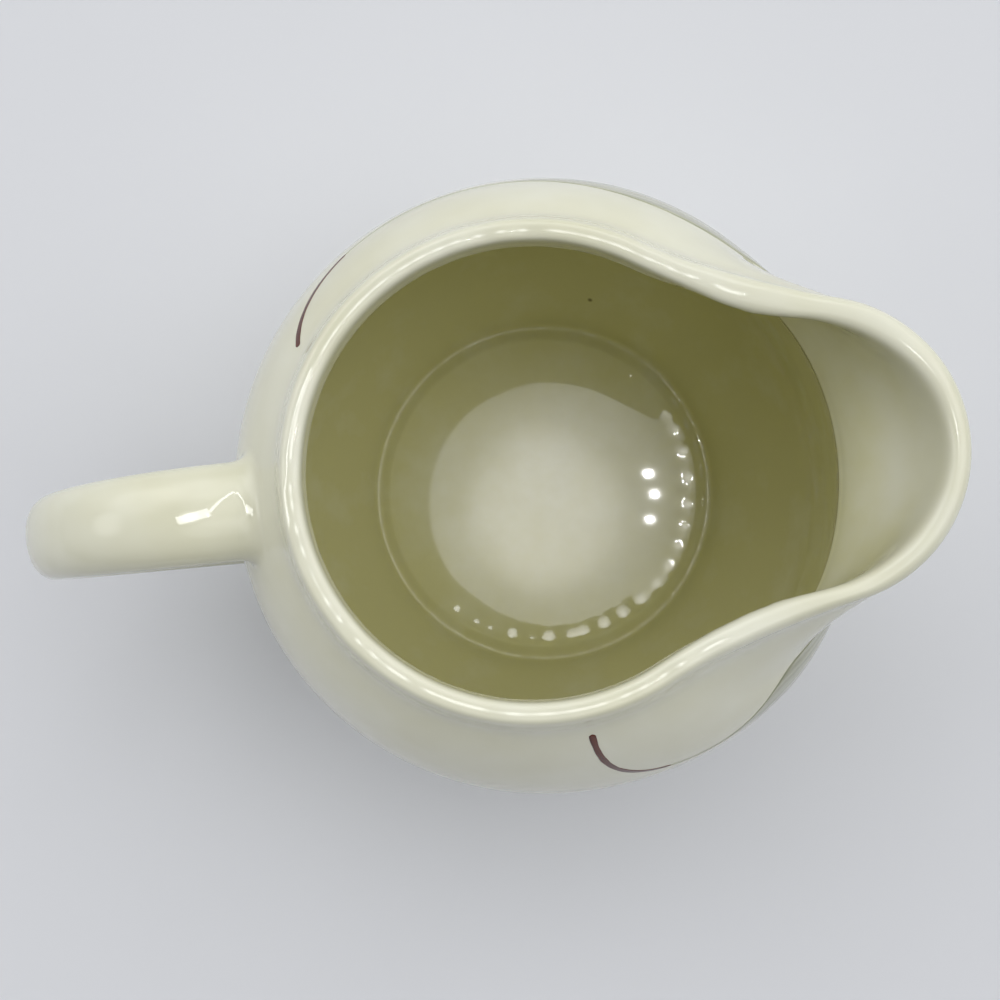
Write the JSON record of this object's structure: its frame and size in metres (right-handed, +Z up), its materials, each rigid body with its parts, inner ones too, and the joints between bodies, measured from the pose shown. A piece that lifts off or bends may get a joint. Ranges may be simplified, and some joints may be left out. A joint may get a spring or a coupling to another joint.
{
  "type": "creamer",
  "caption": "Round-bellied ceramic creamer with a broad pouring lip drawn out of its rim, a loop strap handle, an unglazed foot ring and a plain painted stripe on the shoulder.",
  "frame": {"origin": "on the table, under the middle of the bounding box from handle to lip", "axes": "+Z up, +X towards the pouring lip, the handle behind it towards -X"},
  "size_m": [0.1292, 0.0916, 0.0879],
  "materials": {
    "cream_glaze": "glossy fired glaze",
    "bare_clay": "dry, unglazed",
    "grey_green_paint": "pigment under a glossy glaze",
    "brown_paint": "pigment under a glossy glaze"
  },
  "bodies": {
    "root": {"body_wall": "cream_glaze", "pouring_lip": "cream_glaze", "lip_slip_seam": "cream_glaze", "handle": "cream_glaze", "upper_handle_collar": "cream_glaze", "lower_handle_collar": "cream_glaze", "foot_ring": "bare_clay", "painted_band": "grey_green_paint", "brush_line_left": "brown_paint", "brush_line_right": "brown_paint"}
  },
  "joints": []
}
